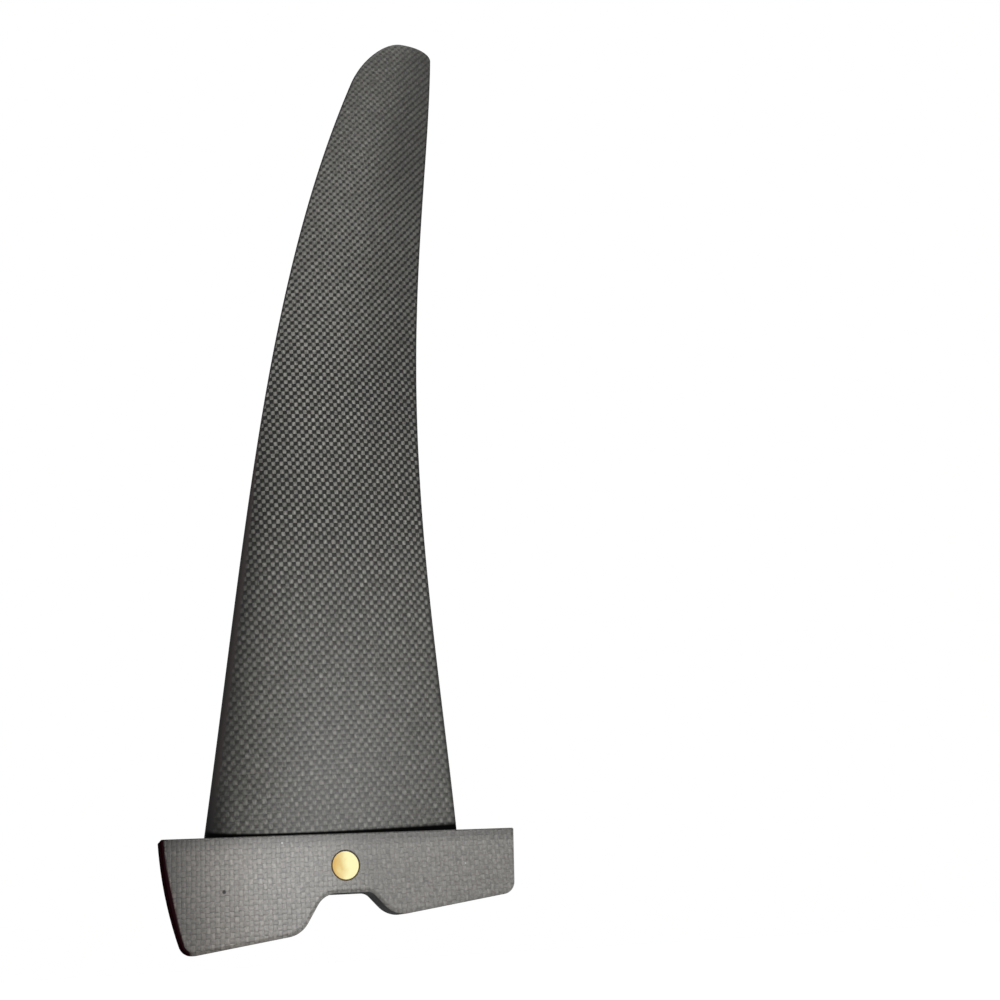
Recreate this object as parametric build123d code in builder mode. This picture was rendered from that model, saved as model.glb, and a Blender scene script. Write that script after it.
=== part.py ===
"""A windsurf fin with a tapered, single-bolt head, in millimetres.

The origin is the centre of the brass barrel nut. +Z points to the tip of the blade, +X to its
trailing edge, and Y runs through its thickness, about which everything is the same on both sides.
Three pieces: the blade with its tang, the head it is bonded into, and the nut the bolt pulls on.
"""

import math
import os

from build123d import *

# Blade planform. Heights are above the head's top, and each edge of the blade is a smooth curve
# that is pulled towards these offsets from the bolt's axis, at equal steps from root to tip.
BLADE_DEPTH = 440.0
LEADING_OFFSETS = (-58.0, -35.0, -21.2, 44.2)
TRAILING_OFFSETS = (52.1, 50.5, 37.9, 70.7, 80.2)
TIP_APEX = 62.2
LEADING_TIP_ROUND = 33.0
TRAILING_TIP_ROUND = 10.0

# Blade section, as shares of the chord.
THICKNESS_RATIO = 0.10
TRAILING_EDGE_RATIO = 0.008
NOSE_SHARE = 0.005
SECTION_SPANS = 5

# Where the blade's sections are: heights on its body, and degrees round the turn of its tip.
BODY_STATION_STEP = 45.0
BODY_STATIONS = 9
TIP_LEAD_IN = 385.0
TIP_STATION_ANGLES = (0, 20, 38, 54, 67, 77, 85)

# Tang, which the head is moulded round.
TANG_DEPTH = 20.5

# Head. Its underside slopes up to the trailing end, and its faces draw in by the taper.
HEAD_TOP = 12.7
HEAD_THICKNESS = 16.0
HEAD_TAPER = 2.5
HEAD_LEADING_TOP = -76.5
HEAD_LEADING_BOTTOM = -66.6
HEAD_LEADING_BULGE = 1.7
HEAD_TRAILING_TOP = 75.9
HEAD_TRAILING_BOTTOM = 73.8
UNDERSIDE_AT_BOLT = -23.4
UNDERSIDE_SLOPE = 0.134
LOWER_CORNER_ROUND = 5.5
FACE_EDGE_ROUND = 1.6
TOP_EDGE_CHAMFER = 0.4

# Notch, where the bolt comes up from below.
NOTCH_TOP = -10.9
NOTCH_TOP_LEADING = -9.4
NOTCH_TOP_TRAILING = 10.8
NOTCH_FOOT_LEADING = -19.3
NOTCH_FOOT_TRAILING = 20.0
NOTCH_TOP_LEADING_ROUND = 9.0
NOTCH_TOP_TRAILING_ROUND = 5.0
NOTCH_FOOT_ROUND = 11.0

# Barrel nut and the bolt's way to it.
NUT_DIAMETER = 12.0
NUT_LENGTH = 14.4
NUT_CHAMFER = 0.4
THREAD_DRILL = 5.0
BOLT_CLEARANCE = 6.6
BOLT_HOLE_END = 9.2
BORE_CHAMFER = 0.3


def along(offsets, share):
    """A Bezier curve's offset at a share of its height: neighbours are blended until one is left."""
    offsets = list(offsets)
    while len(offsets) > 1:
        offsets = [a + (b - a) * share for a, b in zip(offsets, offsets[1:])]
    return offsets[0]


def edge_offset(offsets, tip_round, height):
    """Where an edge of the blade is at a height, turned into the tip along a quarter ellipse."""
    rise = max(0.0, (height - (BLADE_DEPTH - tip_round)) / tip_round)
    turned = 1.0 - math.sqrt(1.0 - rise * rise)
    return along(offsets, height / BLADE_DEPTH) + turned * (TIP_APEX - offsets[-1])


def half_thickness(share):
    """Half the section's thickness at a share of the chord: the usual symmetric foil and a wedge."""
    foil = (
        0.2969 * math.sqrt(share)
        - 0.1260 * share
        - 0.3516 * share**2
        + 0.2843 * share**3
        - 0.1036 * share**4
    )
    return 5.0 * THICKNESS_RATIO * foil + 0.5 * TRAILING_EDGE_RATIO * share


def side_points(height):
    """Points on one side of a section: the front, the end of the nose's arc, then to the back."""
    leading = edge_offset(LEADING_OFFSETS, LEADING_TIP_ROUND, height)
    chord = edge_offset(TRAILING_OFFSETS, TRAILING_TIP_ROUND, height) - leading
    spans = range(1, SECTION_SPANS + 1)
    shares = [0.0, NOSE_SHARE] + [(span / SECTION_SPANS) ** 2 for span in spans]
    return [(leading + chord * share, chord * half_thickness(share)) for share in shares]


# Section heights: even up the body of the blade, so that the loft runs true between them, then
# closer and closer together round the quarter ellipse as the tip turns over.
body_heights = [BODY_STATION_STEP * step for step in range(BODY_STATIONS)] + [TIP_LEAD_IN]
tip_start = BLADE_DEPTH - LEADING_TIP_ROUND
tip_heights = [tip_start + LEADING_TIP_ROUND * math.sin(math.radians(a)) for a in TIP_STATION_ANGLES]

# Each section is drawn as one half, from the middle plane out, because a blade like this is moulded
# in two halves. Its nose is an arc that starts square to the chord, so the whole nose is round.
sections = []
for height in body_heights + tip_heights:
    points = side_points(height)
    with BuildSketch(Plane.XY.offset(HEAD_TOP + height)) as section:
        with BuildLine():
            nose = TangentArc(points[0], points[1], tangent=(0, 1))
            side = Spline(*points[1:])
            Polyline(side @ 1, ((side @ 1).X, 0.0), nose @ 0)
        make_face()
    sections.append(section.sketch)

# The tang is the root section carried on down. It is added to the blade and taken out of the head.
with BuildPart() as tang:
    extrude(sections[0], amount=-TANG_DEPTH)
    mirror(about=Plane.XZ)

# The cylinders that are taken out of both, for the nut and for the bolt's end. The bolt's comes out
# a little way into the notch, past the head's rounded edges.
with BuildSketch(Plane.XZ) as nut_circle:
    Circle(NUT_DIAMETER / 2)
with BuildSketch(Plane.XY.offset(BOLT_HOLE_END)) as bolt_circle:
    Circle(BOLT_CLEARANCE / 2)
bolt_hole_length = BOLT_HOLE_END - NOTCH_TOP + FACE_EDGE_ROUND

with BuildPart() as blade:
    loft(sections)
    mirror(about=Plane.XZ)
    add(tang.part)
    extrude(nut_circle.sketch, amount=HEAD_THICKNESS, both=True, mode=Mode.SUBTRACT)
    extrude(bolt_circle.sketch, amount=-bolt_hole_length, mode=Mode.SUBTRACT)
blade.part.label = "blade"


def underside(x):
    """The height of the head's underside at an offset from the bolt's axis."""
    return UNDERSIDE_AT_BOLT + UNDERSIDE_SLOPE * x


def faces_half_thickness(z):
    """Half the head's thickness at a height."""
    return HEAD_THICKNESS / 2 - (HEAD_TOP - z) * math.tan(math.radians(HEAD_TAPER))


# The head's outline, seen from the side, and its wedge section, seen from the end.
leading_top = (HEAD_LEADING_TOP, HEAD_TOP)
leading_bottom = (HEAD_LEADING_BOTTOM, underside(HEAD_LEADING_BOTTOM))
trailing_bottom = (HEAD_TRAILING_BOTTOM, underside(HEAD_TRAILING_BOTTOM))
trailing_top = (HEAD_TRAILING_TOP, HEAD_TOP)
notch_points = [
    (NOTCH_FOOT_LEADING, underside(NOTCH_FOOT_LEADING)),
    (NOTCH_TOP_LEADING, NOTCH_TOP),
    (NOTCH_TOP_TRAILING, NOTCH_TOP),
    (NOTCH_FOOT_TRAILING, underside(NOTCH_FOOT_TRAILING)),
]
rounded_corners = [
    (leading_bottom, LOWER_CORNER_ROUND),
    (trailing_bottom, LOWER_CORNER_ROUND),
    (notch_points[0], NOTCH_FOOT_ROUND),
    (notch_points[1], NOTCH_TOP_LEADING_ROUND),
    (notch_points[2], NOTCH_TOP_TRAILING_ROUND),
    (notch_points[3], NOTCH_FOOT_ROUND),
]
lowest = underside(HEAD_LEADING_BOTTOM)
wedge_points = [
    (-faces_half_thickness(HEAD_TOP), HEAD_TOP),
    (faces_half_thickness(HEAD_TOP), HEAD_TOP),
    (faces_half_thickness(lowest), lowest),
    (-faces_half_thickness(lowest), lowest),
]

with BuildPart() as head:
    with BuildSketch(Plane.XZ) as outline:
        with BuildLine():
            SagittaArc(leading_bottom, leading_top, HEAD_LEADING_BULGE)
            Polyline(leading_bottom, *notch_points, trailing_bottom, trailing_top, leading_top)
        make_face()
        for corner, radius in rounded_corners:
            fillet(outline.vertices().sort_by_distance(corner)[0], radius)
    extrude(amount=HEAD_THICKNESS, both=True)
    with BuildSketch(Plane.YZ):
        Polygon(*wedge_points, align=None)
    extrude(amount=HEAD_TRAILING_TOP - HEAD_LEADING_TOP, both=True, mode=Mode.INTERSECT)
    side_faces = head.faces().sort_by(SortBy.AREA)[-2:]
    lower_rim = side_faces.edges().filter_by(lambda edge: edge.center().Z < HEAD_TOP - TOP_EDGE_CHAMFER)
    fillet(lower_rim, FACE_EDGE_ROUND)
    chamfer(head.faces().sort_by(Axis.Z)[-1].edges(), TOP_EDGE_CHAMFER)
    extrude(nut_circle.sketch, amount=HEAD_THICKNESS, both=True, mode=Mode.SUBTRACT)
    bore_mouths = head.edges(Select.LAST).filter_by(GeomType.ELLIPSE)
    chamfer(bore_mouths, BORE_CHAMFER)
    add(tang.part, mode=Mode.SUBTRACT)
    extrude(bolt_circle.sketch, amount=-bolt_hole_length, mode=Mode.SUBTRACT)
head.part.label = "head"

with BuildPart() as barrel_nut:
    extrude(nut_circle.sketch, amount=NUT_LENGTH / 2, both=True)
    chamfer(barrel_nut.edges().filter_by(GeomType.CIRCLE), NUT_CHAMFER)
    with BuildSketch(Plane.XY):
        Circle(THREAD_DRILL / 2)
    extrude(amount=NUT_DIAMETER, both=True, mode=Mode.SUBTRACT)
barrel_nut.part.label = "barrel_nut"

os.makedirs("parts", exist_ok=True)
export_step(blade.part, "parts/blade.step")
export_step(head.part, "parts/head.step")
export_step(barrel_nut.part, "parts/barrel_nut.step")
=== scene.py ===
# %% [markdown]
# # A windsurf fin in carbon cloth
# A windsurf fin is a slender wing that hangs under the tail of a board. This one has three pieces:
# a raked blade in woven carbon, a tapered head that wedges into the board, and a brass nut across
# the head that one bolt pulls on. The solids are already made, so this lesson is about how they
# look: how cloth follows a curved blade, and how satin resin, bare laminate and turned brass
# take the light. Everything is in metres, with the centre of the nut at the origin, +Z to the tip,
# +X to the trailing edge and the viewer on the -Y side.

from types import SimpleNamespace

import bpy
import numpy as np
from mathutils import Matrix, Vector


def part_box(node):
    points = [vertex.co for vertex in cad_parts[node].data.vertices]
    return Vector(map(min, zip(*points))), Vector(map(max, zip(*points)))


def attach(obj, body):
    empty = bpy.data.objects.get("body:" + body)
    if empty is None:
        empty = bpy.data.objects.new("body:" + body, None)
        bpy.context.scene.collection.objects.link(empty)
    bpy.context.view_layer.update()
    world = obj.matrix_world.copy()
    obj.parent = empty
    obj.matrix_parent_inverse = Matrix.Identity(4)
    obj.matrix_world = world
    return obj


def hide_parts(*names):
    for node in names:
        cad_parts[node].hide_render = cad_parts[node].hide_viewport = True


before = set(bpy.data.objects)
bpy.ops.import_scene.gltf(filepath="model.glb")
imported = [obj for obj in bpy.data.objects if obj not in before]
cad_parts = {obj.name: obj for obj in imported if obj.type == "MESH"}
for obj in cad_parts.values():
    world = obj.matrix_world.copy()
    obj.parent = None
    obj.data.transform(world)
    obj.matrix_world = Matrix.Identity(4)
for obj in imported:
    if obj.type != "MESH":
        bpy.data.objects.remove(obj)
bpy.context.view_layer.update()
MM = 0.001
head_low, head_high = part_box("head")
HEAD_TOP = head_high.z
print("head from", [round(v / MM, 2) for v in head_low], "to", [round(v / MM, 2) for v in head_high])

# %% [markdown]
# ## The blade's outline
# Seen from the side, the blade is drawn by two smooth edges. Each could be a string of measured
# points, but a fin is shaped with a batten, so each edge here is a Bezier curve: a few offsets
# from the bolt's axis that the curve is pulled towards, at equal steps from root to tip. The tip
# itself is two quarter ellipses that meet at the highest point.

# %% Offsets of the two edges
BLADE_DEPTH = 440.0 * MM
LEADING_OFFSETS = np.array((-58.0, -35.0, -21.2, 44.2)) * MM
TRAILING_OFFSETS = np.array((52.1, 50.5, 37.9, 70.7, 80.2)) * MM
TIP_APEX = 62.2 * MM
LEADING_TIP_ROUND = 33.0 * MM
TRAILING_TIP_ROUND = 10.0 * MM


def along(offsets, share):
    """A Bezier curve at each share of its height: neighbouring offsets are blended until one is left."""
    level = [np.full_like(share, offset) for offset in offsets]
    while len(level) > 1:
        level = [a + (b - a) * share for a, b in zip(level, level[1:])]
    return level[0]


def edge_offset(offsets, tip_round, height):
    """The edge at each height: its Bezier offset, and the quarter ellipse's share of the way to the tip."""
    rise = np.clip((height - (BLADE_DEPTH - tip_round)) / tip_round, 0.0, 1.0)
    turned = 1.0 - np.sqrt(1.0 - rise**2)
    return along(offsets, height / BLADE_DEPTH) + turned * (TIP_APEX - offsets[-1])


ROOT_CHORD = float(TRAILING_OFFSETS[0] - LEADING_OFFSETS[0])
print("root chord", round(ROOT_CHORD / MM, 1), "mm")

# %% [markdown]
# ## The blade's section
# Across its chord the blade is a symmetric foil, rounded in front and thin behind. Its thickness is
# the usual sum for such a foil: a square root, which gives the round nose, less a tail of whole
# powers. A thin wedge is added so that the trailing edge ends as wide as a real one, about a
# millimetre at the root.

# %% Half the thickness along the chord
THICKNESS_RATIO = 0.10
TRAILING_EDGE_RATIO = 0.008
THICKEST_SHARE = 0.3


def half_thickness(share):
    """Half the section's thickness over its chord: five ratios times the foil's sum, and half the wedge."""
    nose = 0.2969 * np.sqrt(share)
    tail = 0.1260 * share + 0.3516 * share**2 - 0.2843 * share**3 + 0.1036 * share**4
    return 5.0 * THICKNESS_RATIO * (nose - tail) + 0.5 * TRAILING_EDGE_RATIO * share


thickest = 2 * float(half_thickness(THICKEST_SHARE)) * ROOT_CHORD
print("thickest at the root", round(thickest / MM, 2), "mm")

# %% [markdown]
# ## Turning a grid of points into a mesh
# Every new surface in this lesson is a grid: rows along one direction, columns along the other.
# Blender could be fed one vertex at a time, but whole arrays are faster and easier to read. The
# helper takes the points, the faces, and any number of flat maps that say where each point lies.

# %% Grid helpers
def grid_faces(rows, columns):
    """The corners of each cell of a grid, counted row by row: here, next column, both, next row."""
    first = np.arange(rows - 1)[:, None] * columns + np.arange(columns - 1)[None, :]
    return np.stack((first, first + 1, first + columns + 1, first + columns), axis=-1).reshape(-1, 4)


def mesh_piece(name, points, faces, maps=()):
    """A mesh object: points is n by 3, faces is a list of arrays of corner numbers, a map is n by 2."""
    mesh = bpy.data.meshes.new(name)
    mesh.from_pydata(points.tolist(), [], [tuple(face) for block in faces for face in block.tolist()])
    corners = np.zeros(len(mesh.loops), np.int32)
    mesh.loops.foreach_get("vertex_index", corners)
    for map_name, places in dict(maps).items():
        layer = mesh.uv_layers.new(name=map_name)
        layer.data.foreach_set("uv", places[corners].astype(np.float32).ravel())
    mesh.shade_smooth()
    mesh.update()
    piece = bpy.data.objects.new(name, mesh)
    bpy.context.scene.collection.objects.link(piece)
    print(name, len(mesh.vertices), "vertices", len(mesh.polygons), "faces")
    return piece


# %% [markdown]
# ## Cloth on a curved blade
# Carbon cloth is woven from flat bundles of fibres, called tows. The solid doesn't say how they
# run, so each point of the blade will be given its place on the flat cloth. The cloth could be
# measured in metres, but a weave is easier to draw when its places are counted in tows. This one
# is turned a little from the bolt's axis, and its tows are wider apart up the blade than across it.

# %% Places on the cloth
CLOTH_TURN = np.radians(2.16)
TOW_ACROSS = 1.953 * MM
TOW_ALONG = 2.093 * MM


def cloth_place(x, z):
    """Where a point of the flattened blade lies on the cloth, in tows across and along it."""
    across = (x * np.cos(CLOTH_TURN) + z * np.sin(CLOTH_TURN)) / TOW_ACROSS
    upward = (z * np.cos(CLOTH_TURN) - x * np.sin(CLOTH_TURN)) / TOW_ALONG
    return np.stack((across, upward), axis=-1).reshape(-1, 2)


print("tows", round(TOW_ACROSS / MM, 2), "by", round(TOW_ALONG / MM, 2), "mm apart")

# %% [markdown]
# ## The sections of the skin
# The solid blade has flat facets, which show as stripes in a soft highlight, so a smooth skin
# stands for it. A subdivided copy of the solid would round its thin edges off, so the skin is
# worked out from the same outline and foil. Each row is one section, from the trailing edge's
# back corner round the nose to its front corner. Rows close up where the tip turns over, and the
# lowest row lies a little way inside the head, so that no light gets in between the two.

# %% Skin sections
SIDE_COLUMNS = 44
BODY_ROWS = 170
TIP_ROWS = 44
SKIN_START = -2.5 * MM


def skin_sections():
    """Sections at height h: x runs between the edges by a cosine, y is half the thickness, z is h up."""
    turn = np.linspace(0.0, np.pi / 2, TIP_ROWS + 1)[1:-1]
    body = np.linspace(0.0, BLADE_DEPTH - LEADING_TIP_ROUND, BODY_ROWS)
    tip = BLADE_DEPTH - LEADING_TIP_ROUND * (1.0 - np.sin(turn))
    height = np.concatenate(([0.0], body, tip))
    step = np.arange(-SIDE_COLUMNS, SIDE_COLUMNS + 1)
    share = (1.0 - np.cos(np.pi * step / SIDE_COLUMNS)) / 2.0
    leading = edge_offset(LEADING_OFFSETS, LEADING_TIP_ROUND, height)[:, None]
    trailing = edge_offset(TRAILING_OFFSETS, TRAILING_TIP_ROUND, height)[:, None]
    chord = trailing - leading
    x = leading + chord * share
    y = chord * np.sign(-step) * half_thickness(share)
    z = HEAD_TOP + height[:, None] + np.zeros_like(x)
    z[0] += SKIN_START
    return x, y, z, share + np.zeros_like(x)


# %% [markdown]
# ## The skin and its maps
# Each point gets two maps. One is its place on the flat cloth, by the distance walked along the
# section, not across it, so that the weave isn't stretched round the nose. The other says how far
# back along the chord the point is and how far from the nose, for the finish of the two edges. A
# narrow strip closes the trailing edge, and a fan of triangles closes each end.

# %% Blade skin
END_POINT_REACH = (0.5, 0.0)


def skin_maps(x, y, z, share):
    """Places on the cloth, from lengths walked along each section, and shares with walks from the nose."""
    steps = np.hypot(np.diff(x, axis=1), np.diff(y, axis=1))
    walked = np.concatenate((np.zeros((len(x), 1)), np.cumsum(steps, axis=1)), axis=1)
    from_trailing = np.minimum(walked, walked[:, -1:] - walked)
    from_nose = np.abs(walked - walked[:, SIDE_COLUMNS, None])
    cloth = cloth_place(x[:, :1] - from_trailing, z)
    return cloth, np.stack((share, from_nose), axis=-1).reshape(-1, 2)


def skin_faces(rows, columns):
    """The grid's cells, the strip from its last column to its first, and a fan at each end."""
    here = np.arange(columns)
    over = np.roll(here, -1)
    last = (rows - 1) * columns
    edge = np.arange(rows - 1) * columns
    strip = np.stack((edge + columns - 1, edge, edge + columns, edge + 2 * columns - 1), axis=-1)
    tip_fan = np.stack((last + here, last + over, np.full(columns, rows * columns)), axis=-1)
    foot_fan = np.stack((over, here, np.full(columns, rows * columns + 1)), axis=-1)
    return [grid_faces(rows, columns), strip, tip_fan, foot_fan]


def blade_skin():
    """All sections as one grid, and two more points: the tip, and the middle of the lowest section."""
    x, y, z, share = skin_sections()
    cloth, reach = skin_maps(x, y, z, share)
    apex = (TIP_APEX, 0.0, HEAD_TOP + BLADE_DEPTH)
    foot = (float(x[0].mean()), 0.0, float(z[0, 0]))
    points = np.vstack((np.stack((x, y, z), axis=-1).reshape(-1, 3), apex, foot))
    cloth = np.vstack((cloth, cloth_place(apex[0], apex[2]), cloth_place(foot[0], foot[2])))
    reach = np.vstack((reach, END_POINT_REACH, END_POINT_REACH))
    return mesh_piece("blade_skin", points, skin_faces(*x.shape), {"cloth": cloth, "reach": reach})


skin = blade_skin()
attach(skin, "root")
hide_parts("blade")

# %% [markdown]
# ## Sums in a finish
# A finish is a little network of nodes. Written out in full, each sum would take four lines, so a
# few helpers serve the rest of the lesson. The first ones start a finish, add a sum, and turn a
# range of values into a soft step. A step's numbers are where it starts and ends, and what it
# gives before and after if that isn't 0 and 1, so a named step can be handed over whole.

# %% Number helpers
def start_finish(name):
    """A new material with the standard surface shader: gives the material, its nodes and that shader."""
    finish = bpy.data.materials.new(name)
    finish.use_nodes = True
    return finish, finish.node_tree, finish.node_tree.nodes["Principled BSDF"]


def feed(tree, source, target):
    """Sets a socket to a number or a colour, or links it to another node's output."""
    if isinstance(source, bpy.types.NodeSocket):
        tree.links.new(source, target)
    else:
        target.default_value = source


def sums(tree, operation, *values):
    """One node of arithmetic on numbers or outputs, which gives its output."""
    node = tree.nodes.new("ShaderNodeMath")
    node.operation = operation
    for value, target in zip(values, node.inputs):
        feed(tree, value, target)
    return node.outputs[0]


def line(tree, value, slope, start):
    """A straight line: the value times a slope, and a start."""
    return sums(tree, "MULTIPLY_ADD", value, slope, start)


def soft_step(tree, value, start, end, before=0.0, after=1.0):
    """One number before the start and another after the end, with a smooth change between them."""
    node = tree.nodes.new("ShaderNodeMapRange")
    node.interpolation_type = "SMOOTHSTEP"
    feed(tree, value, node.inputs["Value"])
    for name, number in (("From Min", start), ("From Max", end), ("To Min", before), ("To Max", after)):
        feed(tree, number, node.inputs[name])
    return node.outputs["Result"]


# %% [markdown]
# ## Places on a piece
# A pattern has to know where it is. Coordinates that stretch with a piece's box would change with
# its size, so a finish here reads the true position in metres, or one of the skin's flat maps.

# %% Place helpers
def place_from(tree, x, y, z=0.0):
    """A position, or a colour, made of three numbers or outputs."""
    node = tree.nodes.new("ShaderNodeCombineXYZ")
    for value, target in zip((x, y, z), node.inputs):
        feed(tree, value, target)
    return node.outputs[0]


def split_place(tree, place):
    """The three numbers of a position."""
    node = tree.nodes.new("ShaderNodeSeparateXYZ")
    tree.links.new(place, node.inputs[0])
    return node.outputs


def own_place(tree):
    """The position on the piece, in metres in the part's own frame."""
    return tree.nodes.new("ShaderNodeTexCoord").outputs["Object"]


def flat_place(tree, name):
    """The two numbers of one of a piece's own flat maps."""
    node = tree.nodes.new("ShaderNodeUVMap")
    node.uv_map = name
    return split_place(tree, node.outputs[0])[:2]


def distance(tree, first, second):
    """How far a point is from an axis: the root of the sum of its two offsets' squares."""
    squares = sums(tree, "MULTIPLY_ADD", first, first, sums(tree, "MULTIPLY", second, second))
    return sums(tree, "SQRT", squares)


# %% [markdown]
# ## Colours
# Colours are counted as light is, as a share of white from 0 to 1, so a tone of 0.1 looks a
# middling dark grey. Three helpers do most of the work: one runs through tones along a value, one
# blends two colours, and one multiplies a colour by a number. The mixing node has sockets for
# numbers, directions and colours side by side, so those for colours are picked by their number.

# %% Colour helpers
MIX_INPUTS = (0, 6, 7)
MIX_OUTPUT = 2


def grey(level):
    """A neutral colour with this share of white, as light is counted."""
    return (level, level, level, 1.0)


def tones(tree, value, stops):
    """A grey that runs through levels in turn: each stop is a value between 0 and 1, and a level."""
    node = tree.nodes.new("ShaderNodeValToRGB")
    tree.links.new(value, node.inputs[0])
    elements = node.color_ramp.elements
    elements[0].position, elements[0].color = stops[0][0], grey(stops[0][1])
    elements[1].position, elements[1].color = stops[-1][0], grey(stops[-1][1])
    for position, level in stops[1:-1]:
        elements.new(position).color = grey(level)
    return node.outputs[0]


def blend_colours(tree, share, first, second, how="MIX"):
    """The first colour where share is 0 and the second, or their product, where it is 1."""
    node = tree.nodes.new("ShaderNodeMix")
    node.data_type = "RGBA"
    node.blend_type = how
    for value, number in zip((share, first, second), MIX_INPUTS):
        feed(tree, value, node.inputs[number])
    return node.outputs[MIX_OUTPUT]


def dimmed(tree, colour, level):
    """A colour times a number."""
    return blend_colours(tree, 1.0, colour, place_from(tree, level, level, level), "MULTIPLY")


# %% [markdown]
# ## Chance and relief
# No two tows are quite alike, and no coat of resin is quite even. Cloudy noise gives changes that
# drift over the surface, and a lot drawn for each square gives changes that stop at its sides. Both
# depend only on the place, so they are the same in each picture. Relief tilts the surface for the
# light alone, which is enough for hills a twentieth of a millimetre high.

# %% Chance and relief helpers
def speckle(tree, place, size, detail=2.0):
    """Cloudy noise between 0 and 1 at a place, with lumps of about one over size."""
    node = tree.nodes.new("ShaderNodeTexNoise")
    node.inputs["Scale"].default_value = size
    node.inputs["Detail"].default_value = detail
    tree.links.new(place, node.inputs["Vector"])
    return node.outputs[0]


def lot(tree, place):
    """A number between 0 and 1 drawn for each place, the same each time and unlike its neighbours'."""
    node = tree.nodes.new("ShaderNodeTexWhiteNoise")
    tree.links.new(place, node.inputs["Vector"])
    return node.outputs[0]


def relief(tree, surface, height, depth, strength):
    """Small hills and valleys that catch the light: a height of 1 stands this depth above 0."""
    bump = tree.nodes.new("ShaderNodeBump")
    bump.inputs["Strength"].default_value = strength
    bump.inputs["Distance"].default_value = depth
    tree.links.new(height, bump.inputs["Height"])
    tree.links.new(bump.outputs[0], surface.inputs["Normal"])


# %% [markdown]
# ## Plain weave
# In plain cloth each tow goes over one crossing tow and under the next, so the face is a
# chequerboard: on one square the fibres run up the fin, on the next across it. Carbon shines along
# its fibres, which is why one set of squares looks light and the other dark. A picture of cloth
# could be wrapped round the blade, but it would blur close up. Here the squares are counted in
# tows, and each is given a rounded crown, fine fibres, a ragged border of painted shade where tows
# dip under each other and its own small difference in tone, so that it holds from any distance.

# %% Weave from cloth coordinates
CROWN_POWER = 0.35
END_DIP = 0.6
BORDER_POWER = 1.5
BORDER_LUMPS = 1.7
RAGGED_BORDER = (0.40, 0.60, 0.15, 1.0)
FIBRES_ACROSS = 2.2
FIBRES_ALONG = 0.9
OTHER_SET = 7.0
LOT_HEIGHT = 0.5


def plain_weave(tree, cloth_u, cloth_v):
    """What is at a place counted in tows: which set is on top, and how high, how dark and how fine."""
    across = sums(tree, "FRACT", cloth_u)
    up = sums(tree, "FRACT", cloth_v)
    column = sums(tree, "FLOOR", cloth_u)
    row = sums(tree, "FLOOR", cloth_v)
    on_top = sums(tree, "PINGPONG", sums(tree, "ADD", column, row), 1.0)

    def off_middle(share):
        """The square of the offset from a tow's middle: 0 there and 1 at its sides."""
        centred = line(tree, share, 2.0, -1.0)
        return sums(tree, "MULTIPLY", centred, centred)

    def choose(first, second):
        """The first value on one set of squares and the second on the other."""
        change = sums(tree, "SUBTRACT", second, first)
        return sums(tree, "MULTIPLY_ADD", change, on_top, first)

    sideways = off_middle(across)
    lengthways = off_middle(up)
    from_side = choose(sideways, lengthways)
    crown = sums(tree, "POWER", sums(tree, "SUBTRACT", 1.0, from_side), CROWN_POWER)
    height = sums(tree, "MULTIPLY", crown, line(tree, choose(lengthways, sideways), -END_DIP, 1.0))

    cloth = place_from(tree, cloth_u, cloth_v)
    ragged = soft_step(tree, speckle(tree, cloth, BORDER_LUMPS, 1.0), *RAGGED_BORDER)
    # Painted shade in the creases where the tows dip under each other.
    gap = sums(tree, "MULTIPLY", sums(tree, "POWER", from_side, BORDER_POWER), ragged)
    fine_u = sums(tree, "MULTIPLY", cloth_u, choose(FIBRES_ACROSS, FIBRES_ALONG))
    fine_v = sums(tree, "MULTIPLY", cloth_v, choose(FIBRES_ALONG, FIBRES_ACROSS))
    fibre_place = place_from(tree, fine_u, fine_v, sums(tree, "MULTIPLY", on_top, OTHER_SET))
    wave_u = sums(tree, "COSINE", sums(tree, "MULTIPLY", cloth_u, np.pi))
    wave_v = sums(tree, "COSINE", sums(tree, "MULTIPLY", cloth_v, np.pi))
    return SimpleNamespace(
        on_top=on_top, height=height, gap=gap, up=up, sideways=sideways, lengthways=lengthways,
        fibres=speckle(tree, fibre_place, 1.0, 3.0),
        own_tone=lot(tree, place_from(tree, column, row, LOT_HEIGHT)),
        corner=sums(tree, "MULTIPLY", wave_u, wave_v),
    )


# %% [markdown]
# ## Tows that aren't quite even
# Two more helpers serve both pieces of cloth. Real tows stray a little from their lines, by up to a
# third of their width, where the cloth was pressed into its mould. And a tow is round, so its
# middle catches more light than its sides: the tone is raised in the middle and lowered at the
# sides, so that the mean tone of the cloth stays what it was.

# %% Stray and ridge
STRAY = 0.6
STRAY_DETAIL = 4.0
MEAN_OFF_MIDDLE = 1 / 3


def stray(tree, place, lumps):
    """How far the cloth has strayed at a place, in tows: cloudy noise about zero."""
    return line(tree, speckle(tree, place, lumps, STRAY_DETAIL), STRAY, -STRAY / 2)


def ridged(tree, colour, off_middle, amount):
    """A colour lit on a tow's middle and dimmed at its sides by an amount, with its mean kept."""
    off_mean = sums(tree, "SUBTRACT", MEAN_OFF_MIDDLE, off_middle)
    return dimmed(tree, colour, sums(tree, "MULTIPLY_ADD", off_mean, amount, 1.0))
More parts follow.
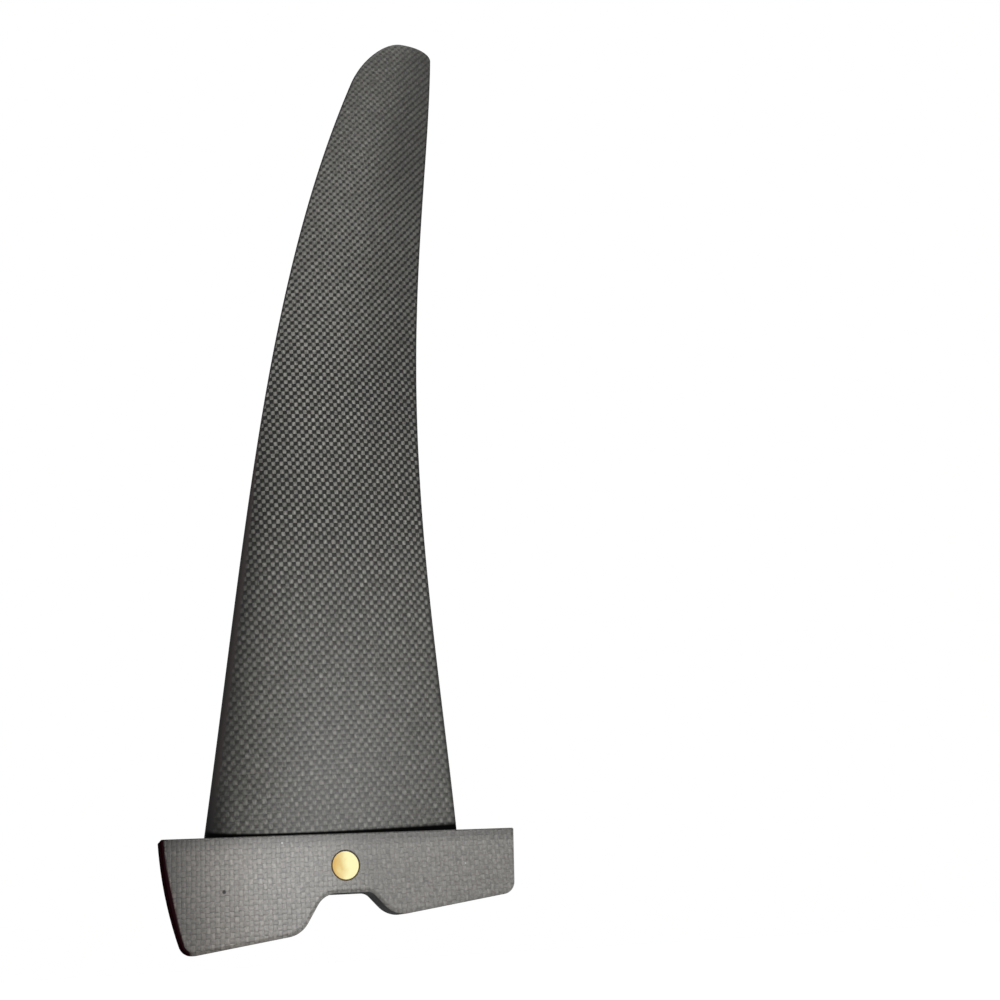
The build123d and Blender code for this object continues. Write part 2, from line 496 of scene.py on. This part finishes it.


# %% [markdown]
# ## The blade's cloth
# The blade is satin: the cloth lies under a thin sanded coat of resin. Its light squares and its
# dark ones differ most half-way up and least near the head and the tip, so each set has its own
# run of tones from root to tip: a painted sheen, since how brightly each set of fibres shines
# changes with height. Low on the blade the lower part of a dark square is painted lighter and its
# upper part stays dark, a painted light and shade on the round tow. Near the tip the light squares
# run together along one diagonal, as they do on a cloth that is seen at a slant. Stops are at
# shares of the blade's height, and RUN_ACROSS at shares of its chord: it gives the last number of
# the step RUN_UPWARD.

# %% Tones of the blade's cloth
LIGHT_TONES_AND_SHEEN = (
    (0.02, 0.123), (0.09, 0.125), (0.17, 0.137), (0.25, 0.152), (0.33, 0.166),
    (0.49, 0.192), (0.57, 0.188), (0.65, 0.168), (0.80, 0.145), (0.97, 0.108),
)
DARK_TONES_AND_SHEEN = (
    (0.02, 0.042), (0.09, 0.029), (0.17, 0.022), (0.25, 0.017), (0.33, 0.010),
    (0.49, 0.008), (0.65, 0.004), (0.73, 0.009), (0.86, 0.028), (0.97, 0.040),
)
LOWER_SIDE_LIGHT = (0.08, 0.36, 0.35, 0.95)
LOWER_PART_END = 0.55
BORDERS = ((0.0, 0.40), (0.17, 0.36), (0.32, 0.0), (0.48, 0.0), (0.60, 0.30), (0.72, 0.62))
SIDE_GAPS = ((0.0, 0.25), (0.10, 0.25), (0.33, 0.65), (0.48, 0.65), (0.62, 0.0), (1.0, 0.0))
END_GAPS = ((0.0, 0.42), (0.12, 0.38), (0.33, 0.15), (0.55, 0.05), (1.0, 0.0))
RUN_ACROSS = (0.25, 0.80, 0.10, 0.50)
RUN_UPWARD = (0.45, 0.85, 0.08)
BLADE_FIBRES = (2.4, -0.2)
BLADE_GAP_SHADE = (-0.30, 1.06)
BLADE_LOTS = (0.30, 0.85)


def blade_tows(tree, weave, rise, share):
    """The light tone, blended with the dark one on every other square, then fibres, borders with painted
    shade where the tows dip, and lots.
    """
    # Low on the blade the lower part of a dark square is painted lighter: painted light and shade on the
    # round tow.
    lower_side_light = soft_step(tree, rise, *LOWER_SIDE_LIGHT)
    filled = soft_step(tree, weave.up, 0.0, LOWER_PART_END, lower_side_light, 1.0)
    darkness = sums(tree, "MULTIPLY", weave.on_top, filled)
    side = sums(tree, "MAXIMUM", weave.sideways, weave.lengthways)
    border = sums(tree, "MULTIPLY", side, weave.on_top)
    shrunk = sums(tree, "MULTIPLY", border, tones(tree, rise, BORDERS))
    darkness = sums(tree, "SUBTRACT", darkness, shrunk)
    run = soft_step(tree, rise, *RUN_UPWARD, soft_step(tree, share, *RUN_ACROSS))
    darkness = sums(tree, "SUBTRACT", darkness, sums(tree, "MULTIPLY", weave.corner, run))
    tow = blend_colours(tree, darkness, tones(tree, rise, LIGHT_TONES_AND_SHEEN), tones(tree, rise, DARK_TONES_AND_SHEEN))
    tow = ridged(tree, tow, weave.sideways, tones(tree, rise, SIDE_GAPS))
    tow = ridged(tree, tow, weave.lengthways, tones(tree, rise, END_GAPS))
    tow = dimmed(tree, tow, line(tree, weave.fibres, *BLADE_FIBRES))
    # Painted shade in the creases where the tows dip under each other.
    tow = dimmed(tree, tow, line(tree, weave.gap, *BLADE_GAP_SHADE))
    return dimmed(tree, tow, line(tree, weave.own_tone, *BLADE_LOTS))


# %% [markdown]
# ## Shade along the chord
# A blade is rounded, so each part faces the room in its own way. Low down it is darkest at
# the nose and brightest half-way back, and higher up it darkens steadily to the trailing edge.
# Lamps alone would give part of this, so the rest is painted shade and painted highlight in two
# runs of tones. Their stops are at shares of the chord, and one hands over to the other as the
# blade rises. Towards the tip the back of the chord is painted a little darker too.

# %% Shade of the blade
LOW_SHADE = (
    (0.0, 0.12), (0.02, 0.24), (0.05, 0.39), (0.10, 0.69), (0.20, 0.96), (0.30, 1.0),
    (0.65, 1.0), (0.80, 0.97), (0.90, 0.93), (0.96, 0.88),
)
HIGH_SHADE = ((0.30, 1.0), (0.50, 0.90), (0.60, 0.80), (0.75, 0.66), (0.95, 0.57))
LOW_FADES = (0.18, 0.62, 1.0, 0.12)
HIGH_GROWS = (0.25, 0.57)
TIP_SHADE = ((0.72, 1.0), (0.80, 0.82), (0.87, 0.86), (0.93, 0.97))
TIP_SHADE_START = (0.35, 0.65, 1.0)
RESIN_TINT = (1.0, 0.98, 0.90, 1.0)


def shaded_blade(tree, tow, rise, share):
    """The cloth times the low shade and the high one, each as far as it holds at this height."""
    low = soft_step(tree, rise, *LOW_FADES)
    high = soft_step(tree, rise, *HIGH_GROWS)
    tow = blend_colours(tree, low, tow, tones(tree, share, LOW_SHADE), "MULTIPLY")
    tow = blend_colours(tree, high, tow, tones(tree, share, HIGH_SHADE), "MULTIPLY")
    tip_shade = tones(tree, rise, TIP_SHADE)
    tow = dimmed(tree, tow, soft_step(tree, share, *TIP_SHADE_START, tip_shade))
    return blend_colours(tree, 1.0, tow, RESIN_TINT, "MULTIPLY")


# %% [markdown]
# ## The blade's two edges
# The nose is filled and sanded, so no cloth shows on it: it is a smooth, faintly reddish band, four
# millimetres wide near the root and narrow higher up. Its very front, and the nose at the foot of the
# blade, are painted darker: painted shade where the nose turns away from the lamps. The trailing
# edge is painted as a dark line: painted shade on the blunt edge that faces away from them.

# %% Edges of the blade
NOSE_RED = (0.028, 0.021, 0.021, 1.0)
NOSE_BAND = (0.25, 0.45, 4.0 * MM, 1.2 * MM)
NOSE_EDGE = (1.2, 0.7)
FOOT_NOSE_SHADE = (0.0, 0.07, 0.20, 1.0)
FOOT_NOSE_REACH = (0.01, 0.11)
NOSE_SHADE_START = 0.2 * MM
NOSE_SHADE_LEVEL = 0.30
NOSE_SHADE_WIDTHS = ((0.0, 5.0 * MM), (0.25, 3.5 * MM), (0.40, 1.2 * MM), (0.70, 2.2 * MM))
TRAILING_SHADE = (0.975, 0.995, 1.0, 0.35)


def finished_edges(tree, tow, rise, share, from_nose):
    """The nose's red in its band, with painted shade at the foot, at the very front and on the trailing
    edge.
    """
    into_band = sums(tree, "DIVIDE", from_nose, soft_step(tree, rise, *NOSE_BAND))
    tow = blend_colours(tree, soft_step(tree, into_band, *NOSE_EDGE), tow, NOSE_RED)
    # Painted shade on the nose at the foot of the blade.
    foot = soft_step(tree, rise, *FOOT_NOSE_SHADE)
    tow = dimmed(tree, tow, soft_step(tree, share, *FOOT_NOSE_REACH, foot, 1.0))
    # Painted shade at the very front of the nose.
    rim = tones(tree, rise, NOSE_SHADE_WIDTHS)
    tow = dimmed(tree, tow, soft_step(tree, from_nose, NOSE_SHADE_START, rim, NOSE_SHADE_LEVEL, 1.0))
    # Painted shade on the trailing edge.
    return dimmed(tree, tow, soft_step(tree, share, *TRAILING_SHADE))


# %% [markdown]
# ## The ledge's painted shadow and the coat
# Where the blade enters the head, a band of painted shadow darkens the foot of the blade: the
# shadow that the head's ledge casts up onto it, wider where the blade is thin and the head stands
# out further from it. It is a colour: how high a point is, over how far the head's ledge stands out
# beyond it, tells where the painted shadow ends. The coat's sheen is weak on the cloth, spread wide
# on the rougher nose and taken away in the painted shadow.

# %% Blade finish
BLADE_LUMPS = 90.0
UPWARD_STRAY = 0.7
LEDGE_REACH = 8.2 * MM
LEDGE_SHADOW_EDGE = (0.32, 0.60)
LEDGE_SHADOW_COLOUR = grey(0.002)
NO_SHEEN_TO_FULL = ((0.0, 0.0), (1.0, 1.0))
NOSE_ROUGHNESS = (0.0, 0.03, 0.7, 0.32)
BLADE_SHEEN = 0.2
FIBRE_RELIEF = 0.3
BLADE_RELIEF = (0.05 * MM, 0.6)


def blade_cloth():
    """The cloth, its shade, its edges and the painted shadow under the head's ledge, one over the other,
    with the coat's sheen.
    """
    finish, tree, surface = start_finish("blade_carbon")
    place = own_place(tree)
    y, z = split_place(tree, place)[1:]
    share, from_nose = flat_place(tree, "reach")
    cloth_u, cloth_v = flat_place(tree, "cloth")
    strayed = stray(tree, place, BLADE_LUMPS)
    cloth_u = sums(tree, "ADD", cloth_u, strayed)
    cloth_v = sums(tree, "ADD", cloth_v, sums(tree, "MULTIPLY", strayed, UPWARD_STRAY))
    weave = plain_weave(tree, cloth_u, cloth_v)

    up_blade = sums(tree, "SUBTRACT", z, HEAD_TOP)
    rise = sums(tree, "DIVIDE", up_blade, BLADE_DEPTH)
    tow = blade_tows(tree, weave, rise, share)
    tow = shaded_blade(tree, tow, rise, share)
    tow = finished_edges(tree, tow, rise, share, from_nose)

    # Painted shadow that the head's ledge casts on the foot of the blade, with no sheen in it.
    ledge = sums(tree, "SUBTRACT", LEDGE_REACH, sums(tree, "ABSOLUTE", y))
    past_ledge_shadow = soft_step(tree, sums(tree, "DIVIDE", up_blade, ledge), *LEDGE_SHADOW_EDGE)
    feed(tree, blend_colours(tree, past_ledge_shadow, LEDGE_SHADOW_COLOUR, tow), surface.inputs["Base Color"])
    feed(tree, tones(tree, past_ledge_shadow, NO_SHEEN_TO_FULL), surface.inputs["Specular Tint"])
    feed(tree, soft_step(tree, share, *NOSE_ROUGHNESS), surface.inputs["Roughness"])
    surface.inputs["Specular IOR Level"].default_value = BLADE_SHEEN
    relief(tree, surface, line(tree, weave.fibres, FIBRE_RELIEF, weave.height), *BLADE_RELIEF)
    return finish


skin.data.materials.append(blade_cloth())
print("blade finished;", len(skin.data.uv_layers), "flat maps on", len(skin.data.vertices), "points")

# %% [markdown]
# ## The head's cloth
# The head is laid up on its own: its two faces are cloth too, sanded flatter and greyer, with the
# tows square to its top edge. The two sets of squares differ most near the leading end, where the
# painted shade in the borders is deepest too. Along its length the face carries a painted sheen
# just left of the nut, painted shade towards the leading end and a dimmer run to the right of the
# nut, and under its top edge a band of painted shade.
# Since each face is flat, the true position serves as the place on the cloth.

# %% Tones of the head's cloth
HEAD_TOWS = (1.95 * MM, 1.99 * MM)
HEAD_LUMPS = 120.0
HEAD_LIGHT = (0.216, 0.207, 0.193, 1.0)
HEAD_DARK = (0.164, 0.157, 0.146, 1.0)
CHEQUER_FADE = (-65.0 * MM, 0.0, 1.0, 0.45)
HEAD_FIBRES = (1.6, 0.2)
HEAD_GAP_SHADE = (-30.0 * MM, 20.0 * MM, -0.70, -0.35)
HEAD_MIDDLE = 1.10
HEAD_SIDES = 0.10
HEAD_ENDS = 0.07
HEAD_LOTS = (0.20, 0.90)
LEADING_TINT = (1.03, 0.985, 0.94, 1.0)
LEADING_TINT_FROM = (-20.0 * MM, -60.0 * MM)
HEAD_SHEEN_AND_SHADE = (
    (-86.0 * MM, -30.0 * MM, 0.15, 1.0), (-9.0 * MM, 9.0 * MM, 1.0, 0.80),
    (10.0 * MM, 32.0 * MM, 1.0, 1.09), (45.0 * MM, 75.0 * MM, 1.0, 0.95),
)
TOP_SHADE = (HEAD_TOP, HEAD_TOP - 6.5 * MM, 0.50, 1.0)


def head_tows(tree, weave, x, z):
    """Two tones of squares with fibres, painted shade in the borders and lots, times the painted sheen and
    shade along and down the head.
    """
    chequer = sums(tree, "MULTIPLY", weave.on_top, soft_step(tree, x, *CHEQUER_FADE))
    tow = blend_colours(tree, chequer, HEAD_LIGHT, HEAD_DARK)
    tow = dimmed(tree, tow, line(tree, weave.fibres, *HEAD_FIBRES))
    # Painted shade in the creases between tows, deepest towards the leading end.
    border = soft_step(tree, x, *HEAD_GAP_SHADE)
    tow = dimmed(tree, tow, line(tree, weave.gap, border, HEAD_MIDDLE))
    tow = ridged(tree, tow, weave.sideways, HEAD_SIDES)
    tow = ridged(tree, tow, weave.lengthways, HEAD_ENDS)
    tow = dimmed(tree, tow, line(tree, weave.own_tone, *HEAD_LOTS))
    warm = soft_step(tree, x, *LEADING_TINT_FROM)
    tow = blend_colours(tree, warm, tow, LEADING_TINT, "MULTIPLY")
    # Painted sheen and shade along the head, then painted shade under its top edge.
    for shade in HEAD_SHEEN_AND_SHADE:
        tow = dimmed(tree, tow, soft_step(tree, x, *shade))
    return dimmed(tree, tow, soft_step(tree, z, *TOP_SHADE))


# %% [markdown]
# ## Marks on the head
# Three small marks, two light and one dark, are where they are on the real one. They are duller
# than the coat around them, so the helper also tells where they are. A mark's numbers are its
# place along the head and up it and its radius, in millimetres, and its tone.

# %% Marks
MARKS = ((-26.6, 9.7, 0.42, 0.52), (52.3, -1.1, 0.34, 0.43), (-50.9, -8.4, 0.78, 0.02))
MARK_EDGE = (1.3, 0.7)
MARK_SHINE = grey(0.3)


def marked_cloth(tree, tow, x, z):
    """The cloth with a soft disc for each mark, and a number that is 1 on the discs and 0 elsewhere."""
    marked = 0.0
    for mark_x, mark_z, radius, level in MARKS:
        off_x = sums(tree, "SUBTRACT", x, mark_x * MM)
        off_z = sums(tree, "SUBTRACT", z, mark_z * MM)
        off = sums(tree, "DIVIDE", distance(tree, off_x, off_z), radius * MM)
        disc = soft_step(tree, off, *MARK_EDGE)
        tow = blend_colours(tree, disc, tow, grey(level))
        marked = sums(tree, "MAXIMUM", marked, disc)
    return tow, marked


# %% [markdown]
# ## The head's moulded edges
# The head's ends, its underside and the walls of the notch are moulded edges, where no cloth
# shows: dull dark laminate, and at the leading end a nose of dark red resin with painted shade on
# it. Each could be painted face by face, but the faces draw in by the same slope all over, so how
# far a point lies inside the face's plane tells the finish what it is on. The nose is found by the
# distance from a line that leans as the leading end does, and on the rounded edge it reaches a
# little further back.

# %% Edges of the head
HEAD_SLOPE = float(np.tan(np.radians(2.5)))
HEAD_FACE = 8.0 * MM
END_TOP = -76.5 * MM
END_LEAN = 0.22
NOSE_REACH = (0.8 * MM, -0.4 * MM)
ROUND_NOSE_REACH = (3.2 * MM, 1.8 * MM)
ROUND_START = (0.02 * MM, 0.08 * MM)


def inside_face(tree, y, z):
    """How far inside a face a point lies: the face's distance from the middle at z, less the point's."""
    face = line(tree, z, HEAD_SLOPE, HEAD_FACE - HEAD_SLOPE * HEAD_TOP)
    return sums(tree, "SUBTRACT", face, sums(tree, "ABSOLUTE", y))


def red_nose(tree, x, z, inside):
    """1 in front of the leaning line, and on the rounded edge near it, and 0 on the rest."""
    from_end = sums(tree, "SUBTRACT", x, line(tree, z, -END_LEAN, END_TOP + END_LEAN * HEAD_TOP))
    on_round = soft_step(tree, inside, *ROUND_START)
    rounded_nose = sums(tree, "MULTIPLY", soft_step(tree, from_end, *ROUND_NOSE_REACH), on_round)
    return sums(tree, "MAXIMUM", rounded_nose, soft_step(tree, from_end, *NOSE_REACH))


# %% [markdown]
# ## The head's finish
# Cloth, marks, laminate and nose are put together here. The satin faces turn into matt edges over
# about a millimetre. The nose's near-black red is partly the resin's own colour and partly painted
# shade, as the leading end faces away from the lamps. A clear coat over the red nose would mirror
# the white room and turn it grey, so the nose takes the shader's metal branch, whose shine can be
# dark red too.

# %% Head finish
EDGE_START = (0.45 * MM, 1.3 * MM)
LAMINATE = grey(0.045)
LAMINATE_LUMPS = 500.0
LAMINATE_CLOUDS = (0.8, 0.5)
RED_AND_SHADED_END = (0.010, 0.003, 0.004, 1.0)
END_SHINE = (0.20, 0.05, 0.07, 1.0)
EDGE_SHINE = ((0.0, 1.0), (1.0, 0.2))
EDGE_ROUGHNESS = (0.0, 1.0, 0.20, 1.0)
HEAD_SHEEN = 0.25
HEAD_RELIEF = (0.04 * MM, 0.35)


def head_laminate():
    """Cloth on the two faces, dull laminate wherever a point lies inside them, red with painted shade at
    the front.
    """
    finish, tree, surface = start_finish("head_carbon")
    place = own_place(tree)
    x, y, z = split_place(tree, place)
    strayed = stray(tree, place, HEAD_LUMPS)
    cloth_u = sums(tree, "ADD", sums(tree, "DIVIDE", x, HEAD_TOWS[0]), strayed)
    cloth_v = sums(tree, "ADD", sums(tree, "DIVIDE", z, HEAD_TOWS[1]), strayed)
    weave = plain_weave(tree, cloth_u, cloth_v)
    tow, marked = marked_cloth(tree, head_tows(tree, weave, x, z), x, z)

    inside = inside_face(tree, y, z)
    edge = soft_step(tree, inside, *EDGE_START)
    clouds = line(tree, speckle(tree, place, LAMINATE_LUMPS), *LAMINATE_CLOUDS)
    colour = blend_colours(tree, edge, tow, dimmed(tree, LAMINATE, clouds))
    nose = red_nose(tree, x, z, inside)
    # The nose's red is partly the resin's colour and partly painted shade.
    feed(tree, blend_colours(tree, nose, colour, RED_AND_SHADED_END), surface.inputs["Base Color"])
    shine = blend_colours(tree, marked, tones(tree, edge, EDGE_SHINE), MARK_SHINE)
    feed(tree, blend_colours(tree, nose, shine, END_SHINE), surface.inputs["Specular Tint"])
    feed(tree, nose, surface.inputs["Metallic"])
    feed(tree, soft_step(tree, edge, *EDGE_ROUGHNESS), surface.inputs["Roughness"])
    surface.inputs["Specular IOR Level"].default_value = HEAD_SHEEN
    relief(tree, surface, weave.height, *HEAD_RELIEF)
    return finish


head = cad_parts["head"]
head.data.materials.clear()
head.data.materials.append(head_laminate())
print("head finished;", len(head.data.polygons), "facets in the solid")

# %% [markdown]
# ## The nut's brass
# The nut is turned from brass bar, so its end carries the fine rings of the tool. Brass tarnishes
# from pale gold to orange, and here one side of the end has gone further than the other; the pale
# side is partly a painted highlight too. Its outer rim is painted darker, as painted shade in the
# narrow ring round the nut where it sits in its bore. The thread along the bolt's way could be cut
# as a helix, but nobody sees more than a glint of it, so it is a relief: ridges one pitch apart,
# wherever a point lies near the bolt's axis.

# %% Brass
PALE_BRASS_AND_SHEEN = (0.48, 0.45, 0.25, 1.0)
DULL_BRASS = (0.35, 0.23, 0.075, 1.0)
SHADED_RIM_BRASS = (0.20, 0.12, 0.045, 1.0)
BRASS_ROUGHNESS = 0.5
TARNISH_AND_SHEEN = (4.5 * MM, -3.0 * MM)
TARNISH_LUMPS = 300.0
TARNISH_DRIFT = 5.0 * MM
NUT_RADIUS = 6.0 * MM
RIM = (NUT_RADIUS - 0.6 * MM, NUT_RADIUS - 0.2 * MM)
RING_STEP = 0.25 * MM
RING_HEIGHT = 0.02
THREAD_PITCH = 1.0 * MM
THREAD_REACH = 2.7 * MM
BRASS_RELIEF = (0.2 * MM, 0.8)


def ripples(tree, value, step):
    """A sine wave along a value, with one ripple in each step."""
    return sums(tree, "SINE", sums(tree, "MULTIPLY", value, 2 * np.pi / step))


def nut_brass():
    """Metal with rings round the nut's axis on its ends, and thread ridges round the bolt's axis."""
    finish, tree, surface = start_finish("nut_brass")
    surface.inputs["Metallic"].default_value = 1.0
    surface.inputs["Roughness"].default_value = BRASS_ROUGHNESS
    place = own_place(tree)
    x, y, z = split_place(tree, place)
    cloudy_x = sums(tree, "MULTIPLY_ADD", speckle(tree, place, TARNISH_LUMPS), TARNISH_DRIFT, x)
    # Pale on one side, partly tarnish-free brass and partly painted highlight, and orange with tarnish on
    # the other.
    colour = blend_colours(tree, soft_step(tree, cloudy_x, *TARNISH_AND_SHEEN), PALE_BRASS_AND_SHEEN, DULL_BRASS)
    radius = distance(tree, x, z)
    # Painted shade at the outer rim, where the nut sits in its bore.
    colour = blend_colours(tree, soft_step(tree, radius, *RIM), colour, SHADED_RIM_BRASS)
    feed(tree, colour, surface.inputs["Base Color"])
    rings = sums(tree, "MULTIPLY", ripples(tree, radius, RING_STEP), RING_HEIGHT)
    threaded = sums(tree, "LESS_THAN", distance(tree, x, y), THREAD_REACH)
    height = sums(tree, "MULTIPLY_ADD", ripples(tree, z, THREAD_PITCH), threaded, rings)
    relief(tree, surface, height, *BRASS_RELIEF)
    return finish


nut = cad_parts["barrel_nut"]
nut.data.materials.clear()
nut.data.materials.append(nut_brass())
print("nut finished;", len(nut.data.polygons), "facets in the solid")

# %% [markdown]
# ## A white floor and a white sky
# The fin is shown on its own in a white room. The floor is a plain pale sheet some way below it.
# If floor and sky were bright enough to look white, they would also flood the fin with light. So
# both ask what kind of ray has reached them: they are white to the eye of the camera, to mirrors
# and through glass, and light the fin at an ordinary level.

# %% Floor and sky
FLOOR_HEIGHT = -0.12
FLOOR_SIDE = 6.0
FLOOR_ROUGHNESS = 0.9
FLOOR_PALE = grey(0.85)
FLOOR_GLOW = 0.45
SKY_LEVEL = 0.68
WHITE = grey(1.0)


def white_to_the_eye(tree):
    """1 for rays from the camera, off mirrors and through glass, and 0 for rays that light the fin."""
    path = tree.nodes.new("ShaderNodeLightPath")
    seen = sums(tree, "ADD", path.outputs["Is Camera Ray"], path.outputs["Is Glossy Ray"])
    return sums(tree, "MINIMUM", sums(tree, "ADD", seen, path.outputs["Is Transmission Ray"]), 1.0)


def pale_floor():
    """A square sheet that glows a little for the eye, so that it is white and keeps its shadow."""
    corners = FLOOR_SIDE * np.array([(-1, -1), (1, -1), (1, 1), (-1, 1)])
    points = np.column_stack((corners, np.full(4, FLOOR_HEIGHT)))
    floor = mesh_piece("floor", points, [np.array([[0, 1, 2, 3]])])
    finish, tree, surface = start_finish("pale_floor")
    surface.inputs["Roughness"].default_value = FLOOR_ROUGHNESS
    surface.inputs["Base Color"].default_value = FLOOR_PALE
    surface.inputs["Emission Color"].default_value = WHITE
    glow = sums(tree, "MULTIPLY", white_to_the_eye(tree), FLOOR_GLOW)
    feed(tree, glow, surface.inputs["Emission Strength"])
    floor.data.materials.append(finish)


def white_sky():
    """A world at an ordinary level for the light it sheds, and at full white for the eye."""
    world = bpy.data.worlds.new("white_room")
    bpy.context.scene.world = world
    world.use_nodes = True
    sky = world.node_tree.nodes["Background"]
    level = line(world.node_tree, white_to_the_eye(world.node_tree), 1.0 - SKY_LEVEL, SKY_LEVEL)
    feed(world.node_tree, level, sky.inputs["Strength"])
    sky.inputs["Color"].default_value = WHITE


pale_floor()
white_sky()

# %% [markdown]
# ## The lamps
# A white room alone would light the fin evenly from all sides. Two soft lamps stand behind the
# camera and to its right, and give it form: a small one puts a sheen on the head, and a wide one on
# the foot of the blade.

# %% Lamps
HEAD_LAMP = ("head_lamp", (0.21, -1.36, -0.04), (-0.03, 0.0, 0.0), (0.20, 0.14), 1.4)
BLADE_LAMP = ("blade_lamp", (0.45, -1.36, 0.20), (0.0, 0.0, 0.05), (0.36, 0.16), 5.0)


def soft_lamp(name, place, aim, size, watts):
    """An oblong lamp at a place, turned to face a point, that the camera doesn't see."""
    light = bpy.data.lights.new(name, "AREA")
    light.shape = "RECTANGLE"
    light.size, light.size_y = size
    light.energy = watts
    lamp = bpy.data.objects.new(name, light)
    lamp.location = place
    lamp.rotation_euler = (Vector(aim) - Vector(place)).to_track_quat("-Z", "Y").to_euler()
    lamp.visible_camera = False
    bpy.context.scene.collection.objects.link(lamp)
    print(name, watts, "watts at", place)


soft_lamp(*HEAD_LAMP)
soft_lamp(*BLADE_LAMP)

# %% [markdown]
# ## The camera
# The photograph was taken from low down on the left, looking up. Its place was found from the
# fin's known height and the even squares of its cloth. The lens points at the fin, but the fin
# stands left of the picture's middle, which a sideways shift of the lens gives. The length of the
# lens and the width of the sensor are in millimetres, and its turn is in degrees about each axis.

# %% Camera
CAMERA_PLACE = (-0.1158, -0.4852, -0.0309)
CAMERA_TURN = np.radians((111.5815, 3.0226, -12.4251))
FOCAL_LENGTH = 40.64
SENSOR_WIDTH = 36.0
LENS_SHIFT = 0.175
NEAREST_SEEN = 0.01

camera = bpy.data.objects.new("camera", bpy.data.cameras.new("camera"))
camera.data.lens = FOCAL_LENGTH
camera.data.sensor_width = SENSOR_WIDTH
camera.data.shift_x = LENS_SHIFT
camera.data.clip_start = NEAREST_SEEN
camera.location = CAMERA_PLACE
camera.rotation_euler = CAMERA_TURN
bpy.context.scene.collection.objects.link(camera)
bpy.context.scene.camera = camera
bpy.context.scene.view_settings.view_transform = "Standard"
print("camera", round(float(np.linalg.norm(camera.location)), 3), "m from the nut")
